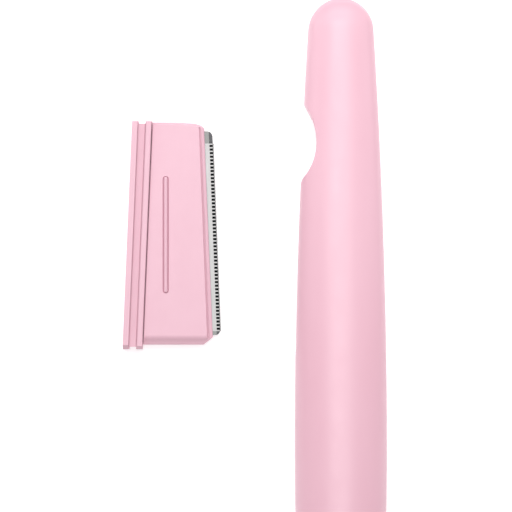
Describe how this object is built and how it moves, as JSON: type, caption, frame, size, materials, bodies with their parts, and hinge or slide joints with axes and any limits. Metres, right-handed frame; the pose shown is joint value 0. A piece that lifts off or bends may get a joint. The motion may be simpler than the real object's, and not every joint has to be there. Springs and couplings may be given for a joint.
{
  "type": "refillable face razor",
  "caption": "Flat-backed weighted handle with an open bay, and a guarded single-blade cartridge that slides into it from the side.",
  "frame": {"origin": "on the handle's flat back, on its centre line, where the handle is widest", "axes": "+Y along the handle towards its rounded head, +Z out of the domed front, +X towards the side where the blade works"},
  "size_m": [0.046, 0.14, 0.0096],
  "materials": {
    "handle_shell": "satin pale pink",
    "cartridge_plastic": "satin pale pink, a little flatter than the handle",
    "guide_white": "matte low-friction white",
    "blade_steel": "fine ground stainless steel",
    "guard_steel": "bright rolled foil",
    "spring_steel": "tempered spring strip",
    "weight_steel": "cold-drawn bar",
    "fastener_steel": "bright stainless steel",
    "plug_rubber": "soft pink sealing plug",
    "pad_rubber": "dark foam rubber"
  },
  "bodies": {
    "handle": {"front_shell": "handle_shell", "grip_base": "handle_shell", "head_base": "handle_shell", "head_dowel": "fastener_steel", "bay_guide": "guide_white", "weight_bar": "weight_steel", "weight_pad_upper": "pad_rubber", "weight_pad_lower": "pad_rubber", "head_screw": "fastener_steel", "grip_screw_upper": "fastener_steel", "grip_screw_lower": "fastener_steel", "head_screw_plug": "plug_rubber", "grip_screw_upper_plug": "plug_rubber", "grip_screw_lower_plug": "plug_rubber", "guide_screw_upper": "fastener_steel", "guide_screw_lower": "fastener_steel", "detent_screw": "fastener_steel"},
    "detent": {"detent_spring": "spring_steel"},
    "cartridge": {"spine_rail": "cartridge_plastic", "carrier": "cartridge_plastic", "cover_plate": "cartridge_plastic", "blade": "blade_steel", "guard": "guard_steel"}
  },
  "joints": [
    {"name": "cartridge_dock", "type": "slide", "parent": "handle", "child": "cartridge", "axis": [1, 0, 0], "range_m": [0, 0.03]},
    {"name": "detent_leaf", "type": "hinge", "parent": "handle", "child": "detent", "pos_m": [-0.00172, 0.0223, 0.00456], "axis": [1, 0, 0], "range_deg": [0, 1.4], "stiffness_Nm_per_rad": 0.22}
  ]
}
